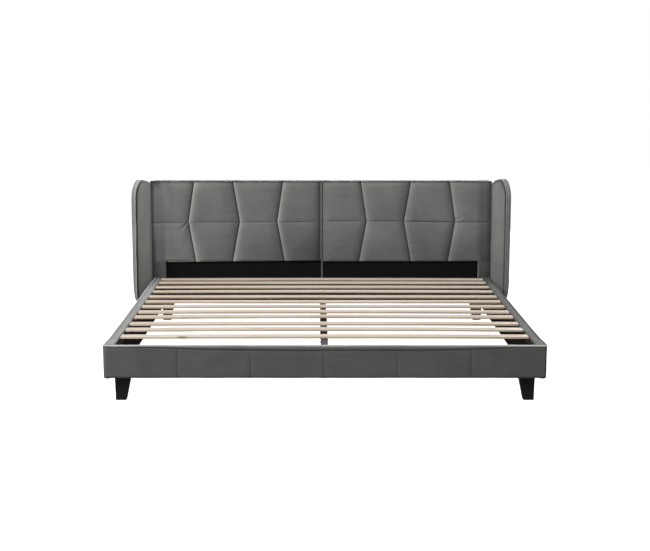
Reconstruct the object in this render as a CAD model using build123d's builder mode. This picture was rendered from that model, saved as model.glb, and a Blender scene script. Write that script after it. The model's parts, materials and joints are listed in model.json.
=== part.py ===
from build123d import *
import os
from math import cos, radians, sin, tan

os.makedirs("parts", exist_ok=True)

# Upholstered double bed for a 1800 by 2000 mattress: low velvet rails on block legs, pine slats
# over a steel centre beam, and a quilted headboard in two halves with splayed wings.
# Millimetres. +X is to the right seen from the foot end, +Y towards the headboard, +Z up.
# The origin is on the floor, under the middle of the bed's outline.

# Overall sizes
bed_width = 1920.0  # over the side rails
bed_length = 2060.0  # footboard front to the padded face of the headboard
headboard_depth = 80.0
headboard_top = 809.0
headboard_half = 972.0  # centre to side, at the padded face
leg_height = 111.0  # floor to the underside of the rails
rail_height = 143.0
rail_thickness = 38.0

# Clearances and cuts
fit_gap = 0.1  # round bolts, screws and piping
soft_gap = 0.3  # between upholstered pieces
overrun = 5.0  # how far a cut runs past the faces it opens

# Upholstery
cover = 4.0  # thin foam and velvet over the rails
cover_round = 3.0
panel_count = 6  # sewn panels along the footboard
panel_draw = 1.5  # how far each panel seam is drawn in
welt_radius = 3.0
welt_inset = 1.0  # piping centre, inside the edge that it follows
welt_proud = welt_radius - welt_inset

# Ledges and slats
ledge_thickness = 24.0
slat_count = 12
slat_width = 60.0
slat_thickness = 10.0
slat_drop = 3.0  # slat top below the rail top
slat_end_gap = 3.0
slat_chamfer = 1.5
slat_first_gap = 2.0  # rearmost slat to the headboard's face
slat_last_gap = 192.3  # foremost slat to the footboard
# The slats lie loose. From the headboard to the foot: each one's place off the even pitch, as a share
# of the pitch, and its crown, as a share of its thickness
slat_shift_shares = (0, -0.19, -0.18, -0.17, -0.12, -0.11, -0.14, -0.11, -0.21, -0.04, -0.09, 0)
slat_crown_shares = (0.2, 0.1, 0.2, 0.3, 0.1, 0, 0.2, 0.3, 0.4, 0.2, 0.3, 0.2)

# Legs
leg_top = 70.0
leg_foot = 46.0
leg_batter = 3.0  # lean of the outer faces
leg_chamfer = 2.0
leg_outset = 38.0  # outer face of a leg, in from the rail's outer face
front_leg_set = 45.0  # front face of a front leg, behind the footboard's front
rear_leg_set = 4.0  # rear face of a rear leg, in from the headboard's back
glide_radius = 11.0
glide_thickness = 3.0
glide_chamfer = 1.0
leg_bolt_radius = 4.0
leg_bolt_depth = 40.0
leg_bolt_grip = 30.0  # bolt in the headboard's bottom rail

# Steel brackets, beam and centre legs
plate = 3.0
bracket_reach = 80.0
bracket_height = 90.0
rear_bracket_reach = 40.0
rear_bracket_run = 60.0
rear_bracket_lift = 20.0
beam_width = 30.0
beam_height = 40.0
beam_wall = 1.5
beam_slack = 0.5
cradle_depth = 40.0
cradle_wing = 28.0
centre_leg_size = 28.0
centre_leg_wall = 1.5
centre_plate_length = 76.0
centre_leg_share = 1 / 3  # of the beam's length, in from each end
leveller_radius = 14.0
leveller_height = 8.0
leveller_chamfer = 2.0
leveller_stem = 4.0
leveller_lift = 12.0  # how far the foot screws in
leveller_drop = 8.0  # how far it screws out
leveller_spare = 6.0  # stem still above the plate when the foot is right out

# Fasteners
bolt_radius = 3.0
bolt_head = 10.0  # across corners
bolt_head_height = 4.0
bolt_length = 20.0
centre_bolt_length = 12.0
nut_size = 15.0
nut_height = 6.5
screw_radius = 2.0
screw_head = 4.0
screw_head_height = 1.5
screw_length = 24.0
ledge_screw_length = 46.0
ledge_screw_count = 4

# Headboard
pad_thickness = 36.0
pad_bottom = 348.0
pad_over = 14.0  # padding over the top of the frame
pad_draw = 7.0  # how far the pad's edges are drawn in from its crown
pad_round = 12.0
mid_seam = 577.0
channel_depth = 15.0
channel_half = 7.0
centre_tongue = 5.0  # velvet edge of each half that shows between the windows
back_thickness = 4.0
lining_thickness = 1.5
frame_member = 44.0
frame_web = 12.0
join_bolt_shares = (0.12, 0.5, 0.88)  # heights of the join bolts, as shares of the frame's height
# Zigzag seams of one half: distance from the centre at the top, mid seam and bottom
seam_inner = (220.0, 255.0, 213.0)
seam_middle = (508.0, 469.0, 510.0)
seam_outer = (728.0, 763.0, 723.0)

# Wings
wing_splay = 12.0  # degrees
wing_depth = 246.0
wing_thickness = 30.0
wing_top = 839.0
wing_bottom = 154.0
wing_tab = 74.0  # part that lies along the headboard's side
wing_crown = 5.0
wing_edge = 9.0
wing_top_round = 74.0
wing_bottom_round = 36.0
wing_shoulder = 46.0
wing_shoulder_drop = 18.0
wing_tab_drop = 62.0
wing_shoulder_round = 34.0
wing_board = 14.0
wing_board_inset = 9.0
wing_skin = 9.0  # padding between the inner face and the board
wing_seam_depth = 2.5
wing_bolt_set = 64.0  # wing bolts, behind the padded face
wing_bolt_shares = (0.15, 0.5, 0.85)  # heights of the wing bolts, as shares of the tab's height

# Places that follow from the sizes
overall_length = welt_proud + bed_length + headboard_depth
y_foot = welt_proud - overall_length / 2
y_face = y_foot + bed_length
y_frame = y_face + pad_thickness
y_back = y_face + headboard_depth
y_panel = y_back - back_thickness
y_lining = y_frame - lining_thickness
y_rail = y_foot + rail_thickness
rail_length = y_face - y_rail
rail_outer = bed_width / 2
rail_inner = rail_outer - rail_thickness
rail_top = leg_height + rail_height
board_thickness = rail_thickness - 2 * cover
board_height = rail_height - cover
ledge_inner = rail_inner - ledge_thickness
slat_top = rail_top - slat_drop
ledge_top = slat_top - slat_thickness
ledge_height = ledge_top - leg_height
window_half = ledge_inner
leg_outer = rail_outer - leg_outset
leg_x = leg_outer - leg_top / 2
front_leg_y = y_foot + front_leg_set + leg_top / 2
rear_leg_y = y_back - rear_leg_set - leg_top / 2
frame_top = headboard_top - pad_over
slat_pitch = (rail_length - slat_first_gap - slat_width - slat_last_gap) / (slat_count - 1)
slat_places = [
    y_face - slat_first_gap - slat_width / 2 - (i + share) * slat_pitch
    for i, share in enumerate(slat_shift_shares[:slat_count])
]
splay = radians(wing_splay)
forward = (sin(splay), -cos(splay), 0)
outward = (cos(splay), sin(splay), 0)
inward = (-cos(splay), -sin(splay), 0)

# Places of the bolts and screws
bolt_z = (leg_height + bracket_height / 3, leg_height + 2 * bracket_height / 3)
side_bolt_y = y_rail + 2 * bracket_reach / 3
foot_bolt_x = ledge_inner - bracket_reach / 2
rear_side_bolt_y = y_face - rear_bracket_run / 2
rear_face_bolt_x = ledge_inner - plate - (rear_bracket_reach - plate) / 2
y_rear_plate = y_lining - plate
side_bolts = [(y, z) for y in (side_bolt_y, rear_side_bolt_y) for z in bolt_z]
foot_bolts = [(side * foot_bolt_x, z) for side in (1, -1) for z in bolt_z]
head_bolts = [(side * rear_face_bolt_x, z) for side in (1, -1) for z in bolt_z]
ledge_screw_z = leg_height + ledge_height / 3
ledge_screw_step = rail_length / ledge_screw_count
ledge_screws = [(y_rail + (i + 1 / 2) * ledge_screw_step, ledge_screw_z) for i in range(ledge_screw_count)]
beam_start = y_rail + plate
beam_end = y_rear_plate
beam_length = beam_end - beam_start
beam_bottom = ledge_top - beam_height
cradle_inner = beam_width / 2 + beam_slack
cradle_outer = cradle_inner + plate
centre_leg_places = [beam_start + centre_leg_share * beam_length, beam_end - centre_leg_share * beam_length]
centre_bolt_y = (centre_plate_length + centre_leg_size) / 4
centre_bolts = [(0, y + step) for y in centre_leg_places for step in (-centre_bolt_y, centre_bolt_y)]
cradle_screw_z = beam_bottom + beam_height / 2
cradle_screw_x = cradle_outer + cradle_wing / 2
cradle_screws = [(cradle_screw_x, cradle_screw_z), (-cradle_screw_x, cradle_screw_z)]

corner = (Align.MIN, Align.MIN)


def across(y):
    """Upright plane across the bed at y, drawn in X and Z. A negative amount extrudes to the head."""
    return Plane.XZ.offset(-y)


def along(x):
    """Upright plane along the bed at x, drawn in Y and Z. A positive amount extrudes to the right."""
    return Plane.YZ.offset(x)


def drill(plane, places, radius, depth):
    """Cut round holes at places on a plane, depth along its normal, from the sub-part being built."""
    with BuildSketch(plane) as mouths:
        with Locations(*places):
            Circle(radius + fit_gap)
    extrude(mouths.sketch, amount=depth, mode=Mode.SUBTRACT)


def save(piece, name):
    """Label a finished sub-part and write it."""
    piece.part.label = name
    export_step(piece.part, f"parts/{name}.step")


def save_pair(piece, name):
    """Write a right-hand sub-part and its mirrored left-hand twin."""
    save(piece, f"{name}_right")
    with BuildPart() as twin:
        mirror(piece.part, about=Plane.YZ)
    save(twin, f"{name}_left")


# Footboard
panel_width = bed_width / panel_count

foot_bolt_bite = bolt_length - plate
cradle_screw_bite = screw_length - plate

with BuildPart() as footboard_board:
    with BuildSketch(along(-rail_outer + cover)):
        with Locations((y_foot + cover, leg_height)):
            Rectangle(board_thickness, board_height, align=corner)
    footboard_blank = extrude(amount=bed_width - 2 * cover)
    drill(across(y_rail), foot_bolts, bolt_radius, foot_bolt_bite)
    drill(across(y_rail), cradle_screws, screw_radius, cradle_screw_bite)

with BuildPart() as footboard_cover:
    with BuildSketch(Plane.XY.offset(leg_height)):
        with BuildLine():
            for i in range(panel_count):
                left = -rail_outer + i * panel_width
                ThreePointArc(
                    (left, y_foot + panel_draw),
                    (left + panel_width / 2, y_foot),
                    (left + panel_width, y_foot + panel_draw),
                )
            Polyline(
                (rail_outer, y_foot + panel_draw),
                (rail_outer, y_rail),
                (-rail_outer, y_rail),
                (-rail_outer, y_foot + panel_draw),
            )
        make_face()
    extrude(amount=rail_height)
    add(footboard_blank, mode=Mode.SUBTRACT)
    with BuildSketch(along(-rail_outer - overrun)):
        with Locations((y_foot + welt_inset, rail_top - welt_inset)):
            Circle(welt_radius + fit_gap)
    extrude(amount=bed_width + 2 * overrun, mode=Mode.SUBTRACT)
    for side in (1, -1):
        side_seat = [(side * (rail_outer - welt_inset), rail_top - welt_inset)]
        drill(across(y_rail + overrun), side_seat, welt_radius - fit_gap / 2, rail_thickness + 2 * overrun)
    drill(across(y_rail), foot_bolts, bolt_radius, foot_bolt_bite)
    drill(across(y_rail), cradle_screws, screw_radius, cradle_screw_bite)

with BuildPart() as footboard_welt:
    with BuildSketch(along(-rail_outer - welt_proud)):
        with Locations((y_foot + welt_inset, rail_top - welt_inset)):
            Circle(welt_radius)
    extrude(amount=bed_width + 2 * welt_proud)

# Side rails, drawn for the right-hand side
side_welt_start = y_foot + welt_inset + welt_radius + fit_gap

with BuildPart() as side_rail_board:
    with BuildSketch(across(y_rail)):
        with Locations((rail_inner + cover, leg_height)):
            Rectangle(board_thickness, board_height, align=corner)
    extrude(amount=-rail_length)
    drill(along(ledge_inner), ledge_screws, screw_radius, ledge_screw_length)

with BuildPart() as side_rail_cover:
    with BuildSketch(across(y_rail)):
        with Locations((rail_inner, leg_height)):
            Rectangle(rail_thickness, rail_height, align=corner)
        fillet(vertices().group_by(Axis.Y)[-1].sort_by(Axis.X)[0], radius=cover_round)
        with Locations((rail_inner + cover, leg_height)):
            Rectangle(board_thickness, board_height, align=corner, mode=Mode.SUBTRACT)
        with Locations((rail_outer - welt_inset, rail_top - welt_inset)):
            Circle(welt_radius + fit_gap, mode=Mode.SUBTRACT)
    extrude(amount=-rail_length)
    drill(along(ledge_inner), ledge_screws, screw_radius, ledge_screw_length)

with BuildPart() as side_rail_welt:
    with BuildSketch(across(side_welt_start)):
        with Locations((rail_outer - welt_inset, rail_top - welt_inset)):
            Circle(welt_radius)
    extrude(amount=side_welt_start - y_face + soft_gap)

with BuildPart() as slat_ledge:
    with BuildSketch(across(y_rail)):
        with Locations((ledge_inner, leg_height)):
            Rectangle(ledge_thickness, ledge_height, align=corner)
    extrude(amount=-rail_length)
    drill(along(ledge_inner), ledge_screws, screw_radius, ledge_screw_length)
    drill(along(ledge_inner), side_bolts, bolt_radius, foot_bolt_bite)

# Slats, from the headboard to the foot
slat_half = rail_inner - slat_end_gap
slats = []
for y, share in zip(slat_places, slat_crown_shares):
    crown = share * slat_thickness
    with BuildPart() as slat:
        with BuildSketch(across(y - slat_width / 2)):
            with BuildLine():
                if crown > 0:
                    ThreePointArc((-slat_half, slat_top), (0, slat_top + crown), (slat_half, slat_top))
                    ThreePointArc((-slat_half, ledge_top), (0, ledge_top + crown), (slat_half, ledge_top))
                else:
                    Line((-slat_half, slat_top), (slat_half, slat_top))
                    Line((-slat_half, ledge_top), (slat_half, ledge_top))
                Line((-slat_half, ledge_top), (-slat_half, slat_top))
                Line((slat_half, ledge_top), (slat_half, slat_top))
            make_face()
        extrude(amount=-slat_width)
        chamfer([e for e in edges() if e.length > slat_half], length=slat_chamfer)
    slats.append(slat)


# Legs: blocks whose two inner faces taper, drawn for the right-hand side
def leg(y_out, y_side, bolt_y):
    """A leg whose outer top corner is at (leg_outer, y_out) and which tapers away from that corner."""
    with BuildPart() as block:
        for z, size, lean in ((leg_height, leg_top, 0), (glide_thickness, leg_foot, leg_batter)):
            reach = lean + size / 2
            with BuildSketch(Plane.XY.offset(z)):
                with Locations((leg_outer - reach, y_out - y_side * reach)):
                    Rectangle(size, size)
        loft(ruled=True)
        chamfer(edges().group_by(Axis.Z)[1], length=leg_chamfer)
        drill(Plane.XY.offset(leg_height), [(leg_x, bolt_y)], leg_bolt_radius, -leg_bolt_depth - fit_gap)
    return block


leg_front = leg(y_foot + front_leg_set, -1, front_leg_y)
leg_rear = leg(y_back - rear_leg_set, 1, rear_leg_y)

foot_reach = leg_batter + leg_foot / 2
glide_places = [
    (side * (leg_outer - foot_reach), y)
    for side in (1, -1)
    for y in (y_foot + front_leg_set + foot_reach, y_back - rear_leg_set - foot_reach)
]
with BuildPart() as leg_glides:
    with BuildSketch(Plane.XY):
        with Locations(*glide_places):
            Circle(glide_radius)
    extrude(amount=glide_thickness)
    chamfer(edges().group_by(Axis.Z)[0], length=glide_chamfer)

front_bolt_places = [(leg_x, front_leg_y), (-leg_x, front_leg_y)]
rear_bolt_places = [(leg_x, rear_leg_y), (-leg_x, rear_leg_y)]
nut_seat = leg_height + plate
with BuildPart() as leg_bolts:
    with BuildSketch(Plane.XY.offset(leg_height - leg_bolt_depth)):
        with Locations(*front_bolt_places):
            Circle(leg_bolt_radius)
    extrude(amount=leg_bolt_depth + plate + nut_height)
    with BuildSketch(Plane.XY.offset(nut_seat)):
        with Locations(*front_bolt_places):
            RegularPolygon(nut_size / 2, 6)
    extrude(amount=nut_height)
    with BuildSketch(Plane.XY.offset(leg_height - leg_bolt_depth)):
        with Locations(*rear_bolt_places):
            Circle(leg_bolt_radius)
    extrude(amount=leg_bolt_depth + leg_bolt_grip)

# Corner brackets, drawn for the right-hand side

with BuildPart() as front_bracket:
    with BuildSketch(Plane.XY.offset(leg_height)):
        with Locations((ledge_inner - bracket_reach, y_rail)):
            Rectangle(bracket_reach, plate, align=corner)
        with Locations((ledge_inner - plate, y_rail)):
            Rectangle(plate, bracket_reach, align=corner)
    extrude(amount=bracket_height)
    with BuildSketch(Plane.XY.offset(leg_height)):
        with Locations((ledge_inner - bracket_reach, y_rail)):
            Rectangle(bracket_reach, bracket_reach, align=corner)
        with Locations((leg_x, front_leg_y)):
            Circle(leg_bolt_radius + fit_gap, mode=Mode.SUBTRACT)
    extrude(amount=plate)
    drill(along(ledge_inner - plate - overrun), side_bolts, bolt_radius, plate + 2 * overrun)
    drill(across(y_rail - overrun), foot_bolts, bolt_radius, -plate - 2 * overrun)

with BuildPart() as rear_bracket:
    with BuildSketch(Plane.XY.offset(leg_height + rear_bracket_lift)):
        with Locations((ledge_inner - rear_bracket_reach, y_rear_plate)):
            Rectangle(rear_bracket_reach, plate, align=corner)
        with Locations((ledge_inner - plate, y_face - rear_bracket_run)):
            Rectangle(plate, y_lining - y_face + rear_bracket_run, align=corner)
    extrude(amount=bracket_height - rear_bracket_lift)
    drill(along(ledge_inner - plate - overrun), side_bolts, bolt_radius, plate + 2 * overrun)
    drill(across(y_rear_plate - overrun), head_bolts, bolt_radius, -plate - 2 * overrun)

# Centre beam in its two cradles

with BuildPart() as centre_beam:
    with BuildSketch(across(beam_start)):
        with Locations((-beam_width / 2, beam_bottom)):
            Rectangle(beam_width, beam_height, align=corner)
        with Locations((-beam_width / 2 + beam_wall, beam_bottom + beam_wall)):
            Rectangle(
                beam_width - 2 * beam_wall, beam_height - 2 * beam_wall, align=corner, mode=Mode.SUBTRACT
            )
    extrude(amount=-beam_length)
    drill(Plane.XY.offset(beam_bottom - overrun), centre_bolts, bolt_radius, beam_wall + 2 * overrun)


def cradle(y_plate, y_pocket):
    """A back plate at y_plate with a U-shaped pocket, from y_pocket, that carries the beam's end."""
    with BuildPart() as bracket:
        with BuildSketch(across(y_plate)) as back:
            with Locations((-cradle_outer - cradle_wing, beam_bottom - plate)):
                Rectangle(2 * (cradle_outer + cradle_wing), beam_height, align=corner)
            with Locations(*cradle_screws):
                Circle(screw_radius + fit_gap, mode=Mode.SUBTRACT)
        extrude(back.sketch, amount=-plate)
        with BuildSketch(across(y_pocket)) as pocket:
            with Locations((-cradle_outer, beam_bottom - plate)):
                Rectangle(2 * cradle_outer, beam_height, align=corner)
            with Locations((-cradle_inner, beam_bottom)):
                Rectangle(2 * cradle_inner, beam_height, align=corner, mode=Mode.SUBTRACT)
        extrude(pocket.sketch, amount=-cradle_depth)
    return bracket


beam_bracket_front = cradle(y_rail, beam_start)
beam_bracket_rear = cradle(y_rear_plate, y_rear_plate - cradle_depth)

# Centre legs and their levelling feet
centre_leg_bottom = leveller_height + leveller_lift + soft_gap
centre_leg_top = beam_bottom - plate
leveller_stem_length = leveller_lift + plate + leveller_drop + leveller_spare


def centre_leg(y):
    """Square tube with a top plate under the beam and a drilled plate at its foot."""
    with BuildPart() as post:
        with BuildSketch(Plane.XY.offset(centre_leg_bottom)) as tube:
            with Locations((0, y)):
                Rectangle(centre_leg_size, centre_leg_size)
                Rectangle(
                    centre_leg_size - 2 * centre_leg_wall,
                    centre_leg_size - 2 * centre_leg_wall,
                    mode=Mode.SUBTRACT,
                )
        extrude(tube.sketch, amount=centre_leg_top - centre_leg_bottom)
        with BuildSketch(Plane.XY.offset(centre_leg_bottom)) as foot_plate:
            with Locations((0, y)):
                Rectangle(centre_leg_size, centre_leg_size)
                Circle(leveller_stem + soft_gap, mode=Mode.SUBTRACT)
        extrude(foot_plate.sketch, amount=plate)
        with BuildSketch(Plane.XY.offset(centre_leg_top)) as top_plate:
            with Locations((0, y)):
                Rectangle(centre_leg_size, centre_plate_length)
            with Locations((0, y - centre_bolt_y), (0, y + centre_bolt_y)):
                Circle(bolt_radius + fit_gap, mode=Mode.SUBTRACT)
        extrude(top_plate.sketch, amount=plate)
    return post


def leveller(y):
    """Round foot on a threaded stem."""
    with BuildPart() as foot:
        with BuildSketch(Plane.XY) as disc:
            with Locations((0, y)):
                Circle(leveller_radius)
        extrude(disc.sketch, amount=leveller_height)
        chamfer(foot.edges().group_by(Axis.Z)[-1], length=leveller_chamfer)
        with BuildSketch(Plane.XY.offset(leveller_height)) as stem:
            with Locations((0, y)):
                Circle(leveller_stem)
        extrude(stem.sketch, amount=leveller_stem_length)
    return foot


# Bolts and screws of the frame
def bolts(face, way, places, length):
    """Hex bolts whose heads stand on a face and whose shanks run the other way along its normal."""
    with BuildSketch(face) as heads:
        with Locations(*places):
            RegularPolygon(bolt_head / 2, 6)
    extrude(heads.sketch, amount=-way * bolt_head_height)
    with BuildSketch(face) as shanks:
        with Locations(*places):
            Circle(bolt_radius)
    extrude(shanks.sketch, amount=way * length)


def screws(face, way, places, length):
    """Round-headed screws on a face, as for bolts."""
    with BuildSketch(face) as heads:
        with Locations(*places):
            Circle(screw_head)
    extrude(heads.sketch, amount=-way * screw_head_height)
    with BuildSketch(face) as shanks:
        with Locations(*places):
            Circle(screw_radius)
    extrude(shanks.sketch, amount=way * length)


with BuildPart() as frame_bolts:
    bolts(along(ledge_inner - plate), 1, side_bolts, bolt_length)
    mirror(about=Plane.YZ)
    bolts(across(y_rail + plate), 1, foot_bolts, bolt_length)
    bolts(across(y_rear_plate), -1, head_bolts, bolt_length)
    bolts(Plane.XY.offset(centre_leg_top), 1, centre_bolts, centre_bolt_length)

with BuildPart() as frame_screws:
    screws(along(ledge_inner), 1, ledge_screws, ledge_screw_length)
    mirror(about=Plane.YZ)
    screws(across(y_rail + plate), 1, cradle_screws, screw_length)
    screws(across(y_rear_plate), -1, cradle_screws, screw_length)

# Headboard, drawn for the right-hand half. Its outer side is cut at the wing's splay.
side_plane = Plane(origin=(headboard_half, y_face, 0), x_dir=forward, z_dir=outward)
half_start = soft_gap / 2
half_width = headboard_half - half_start
pad_corner = pad_round * (1 - cos(radians(45)))
pocket_left = half_start + frame_member
pocket_front = y_frame + frame_web
pocket_right = [
    headboard_half - (y - y_face) * tan(splay) - frame_member / cos(splay) for y in (pocket_front, y_panel)
]
join_bolts = [
    ((y_frame + y_panel) / 2, leg_height + share * (frame_top - leg_height)) for share in join_bolt_shares
]
# The wing bolts' places, up and forward, on planes along the headboard's side
wing_tab_top = wing_top - wing_tab_drop
wing_bolts = [
    (wing_bottom + share * (wing_tab_top - wing_bottom), -wing_bolt_set) for share in wing_bolt_shares
]


def beside(step):
    """Upright plane along the headboard's right-hand side, drawn up and forward, set outward by step."""
    return Plane(origin=(headboard_half, y_face, 0), x_dir=(0, 0, 1), z_dir=outward).offset(step)


with BuildPart() as headboard_frame:
    with BuildSketch(along(half_start)):
        with Locations((y_frame, leg_height)):
            Rectangle(y_panel - y_frame, frame_top - leg_height, align=corner)
    extrude(amount=half_width)
    split(bisect_by=side_plane, keep=Keep.BOTTOM)
    # Two pockets between the members, open to the rear
    for low, high in (
        (leg_height + frame_member, pad_bottom - frame_member / 2),
        (pad_bottom + frame_member / 2, frame_top - frame_member),
    ):
        with BuildSketch(Plane.XY.offset(low)):
            with BuildLine():
                Polyline(
                    (pocket_left, pocket_front),
                    (pocket_right[0], pocket_front),
                    (pocket_right[1], y_panel),
                    (pocket_left, y_panel),
                    close=True,
                )
            make_face()
        extrude(amount=high - low, mode=Mode.SUBTRACT)
    drill(along(0), join_bolts, bolt_radius, frame_member + overrun)
    drill(beside(-frame_member - overrun), wing_bolts, bolt_radius, frame_member + 2 * overrun)
    drill(across(y_frame), head_bolts, bolt_radius, -bolt_length)
    drill(across(y_frame), cradle_screws, screw_radius, -screw_length)
    drill(Plane.XY.offset(leg_height), rear_bolt_places, leg_bolt_radius, leg_bolt_grip + fit_gap)

with BuildPart() as headboard_pad:
    with BuildSketch(along(half_start)):
        with BuildLine():
            ThreePointArc(
                (y_face + pad_draw, pad_bottom),
                (y_face, (pad_bottom + mid_seam) / 2),
                (y_face + pad_draw, mid_seam),
            )
            ThreePointArc(
                (y_face + pad_draw, mid_seam),
                (y_face, (mid_seam + headboard_top) / 2),
                (y_face + pad_draw, headboard_top - pad_round),
            )
            ThreePointArc(
                (y_face + pad_draw, headboard_top - pad_round),
                (y_face + pad_draw + pad_corner, headboard_top - pad_corner),
                (y_face + pad_draw + pad_round, headboard_top),
            )
            Polyline(
                (y_face + pad_draw + pad_round, headboard_top),
                (y_panel, headboard_top),
                (y_panel, frame_top),
                (y_frame, frame_top),
                (y_frame, pad_bottom),
                (y_face + pad_draw, pad_bottom),
            )
        make_face()
    extrude(amount=half_width)
    split(bisect_by=side_plane, keep=Keep.BOTTOM)
    heights = (headboard_top + overrun, mid_seam, pad_bottom - overrun)
    for seam in (seam_inner, seam_middle, seam_outer):
        for i in range(2):
            start = Vector(seam[i], y_face, heights[i])
            run = Vector(seam[i + 1], y_face, heights[i + 1]) - start
            with BuildSketch(Plane(origin=start, x_dir=(0, 1, 0), z_dir=run)):
                with BuildLine():
                    Polyline(
                        (channel_depth, 0),
                        (-overrun, channel_half),
                        (-overrun, -channel_half),
                        close=True,
                    )
                make_face()
            extrude(amount=run.length, mode=Mode.SUBTRACT)
    with BuildSketch(along(half_start)):
        with Locations((y_face + pad_draw + pad_round, ledge_top)):
            Rectangle(y_lining - y_face - pad_draw - pad_round, pad_bottom - ledge_top, align=corner)
    extrude(amount=centre_tongue)

with BuildPart() as headboard_stile:
    with BuildSketch(Plane.XY.offset(leg_height)):
        with Locations((window_half, y_face)):
            Rectangle(headboard_half - window_half, pad_thickness, align=corner)
        fillet(vertices().group_by(Axis.Y)[0].sort_by(Axis.X)[0], radius=pad_round)
    extrude(amount=pad_bottom - leg_height)
    split(bisect_by=side_plane, keep=Keep.BOTTOM)

with BuildPart() as headboard_lining:
    with BuildSketch(across(y_lining)):
        with Locations((half_start, leg_height)):
            Rectangle(window_half - half_start, pad_bottom - leg_height, align=corner)
    extrude(amount=-lining_thickness)
    drill(across(y_lining), head_bolts, bolt_radius, -lining_thickness)
    drill(across(y_lining), cradle_screws, screw_radius, -lining_thickness)

with BuildPart() as headboard_back:
    with BuildSketch(across(y_panel)):
        with Locations((half_start, leg_height)):
            Rectangle(half_width, headboard_top - leg_height, align=corner)
    extrude(amount=-back_thickness)
    split(bisect_by=side_plane, keep=Keep.BOTTOM)

# Wings, drawn for the right-hand side on the plane of the inner face: x forward, y up
wing_origin = (headboard_half + soft_gap, y_face, 0)
wing_plane = Plane(origin=wing_origin, x_dir=forward, z_dir=inward)


def wing_outline(inset, depth):
    """Side outline of the wing, drawn in by inset along its free edges, at a depth from its inner face."""
    with BuildSketch(wing_plane.offset(-depth)) as outline:
        with BuildLine():
            Polyline(
                (-wing_tab, wing_bottom + inset),
                (wing_depth - inset, wing_bottom + inset),
                (wing_depth - inset, wing_top - inset),
                (wing_shoulder, wing_top - wing_shoulder_drop - inset),
                (0, wing_tab_top - inset),
                (-wing_tab, wing_tab_top - inset),
                close=True,
            )
        make_face()
        front = vertices().group_by(Axis.X)[-1].sort_by(Axis.Y)
        fillet(front[-1], radius=wing_top_round - inset)
        front = vertices().group_by(Axis.X)[-1].sort_by(Axis.Y)
        fillet(front[0], radius=wing_bottom_round - inset)
        peak = [v for v in vertices() if abs(v.X - wing_shoulder) < inset + fit_gap]
        fillet(peak, radius=wing_shoulder_round)
    return outline.sketch


wing_bolt_length = frame_member + soft_gap + wing_skin + wing_board

with BuildPart() as wing_board_part:
    wing_board_blank = extrude(wing_outline(wing_board_inset, wing_skin), amount=-wing_board)
    drill(beside(0), wing_bolts, bolt_radius, wing_bolt_length)

with BuildPart() as wing_pad:
    extrude(wing_outline(0, -wing_crown), amount=-wing_crown - wing_thickness)
    with BuildSketch(Plane(origin=wing_origin, x_dir=forward, z_dir=(0, 0, 1))) as plan:
        with BuildLine():
            ThreePointArc((0, 0), (wing_depth / 2, -wing_crown), (wing_depth, 0))
            Polyline(
                (wing_depth, 0), (wing_depth, wing_thickness), (-wing_tab, wing_thickness), (-wing_tab, 0), (0, 0)
            )
        make_face()
        fillet(vertices().group_by(Axis.X)[-1], radius=wing_edge)
    extrude(plan.sketch, amount=wing_top, mode=Mode.INTERSECT)
    add(wing_board_blank, mode=Mode.SUBTRACT)
    drill(beside(0), wing_bolts, bolt_radius, wing_skin + overrun)
    for z in (mid_seam, pad_bottom):
        with BuildSketch(Plane(origin=wing_origin, x_dir=outward, z_dir=forward)) as groove:
            with BuildLine():
                Polyline(
                    (wing_seam_depth, z),
                    (-wing_crown - overrun, z + wing_crown),
                    (-wing_crown - overrun, z - wing_crown),
                    close=True,
                )
            make_face()
        extrude(groove.sketch, amount=wing_depth - wing_edge, mode=Mode.SUBTRACT)

# Bolts of the headboard: three join its halves, with a nut each, and three hold each wing
with BuildPart() as headboard_bolts:
    bolts(beside(-frame_member), 1, wing_bolts, wing_bolt_length)
    mirror(about=Plane.YZ)
    bolts(along(pocket_left), -1, join_bolts, 2 * pocket_left + nut_height)
    with BuildSketch(along(-pocket_left)) as nuts:
        with Locations(*join_bolts):
            RegularPolygon(nut_size / 2, 6)
    extrude(nuts.sketch, amount=-nut_height)

save(footboard_board, "footboard_board")
save(footboard_cover, "footboard_cover")
save(footboard_welt, "footboard_welt")
save_pair(side_rail_board, "side_rail_board")
save_pair(side_rail_cover, "side_rail_cover")
save_pair(side_rail_welt, "side_rail_welt")
save_pair(slat_ledge, "slat_ledge")
for i, slat in enumerate(slats):
    save(slat, f"slat_{i + 1:02d}")
save_pair(leg_front, "leg_front")
save_pair(leg_rear, "leg_rear")
save(leg_glides, "leg_glides")
save(leg_bolts, "leg_bolts")
save_pair(front_bracket, "front_bracket")
save_pair(rear_bracket, "rear_bracket")
save(centre_beam, "centre_beam")
save(beam_bracket_front, "beam_bracket_front")
save(beam_bracket_rear, "beam_bracket_rear")
for name, y in zip(("front", "rear"), centre_leg_places):
    save(centre_leg(y), f"centre_leg_{name}")
    save(leveller(y), f"leveller_{name}")
save(frame_bolts, "frame_bolts")
save(frame_screws, "frame_screws")
save_pair(headboard_frame, "headboard_frame")
save_pair(headboard_pad, "headboard_pad")
save_pair(headboard_stile, "headboard_stile")
save_pair(headboard_lining, "headboard_lining")
save_pair(headboard_back, "headboard_back")
save_pair(wing_board_part, "wing_board")
save_pair(wing_pad, "wing_pad")
save(headboard_bolts, "headboard_bolts")
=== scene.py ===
import json
from math import cos, hypot, pi, radians, sin, tan

import bpy
import numpy as np
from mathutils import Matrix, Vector, noise


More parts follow.
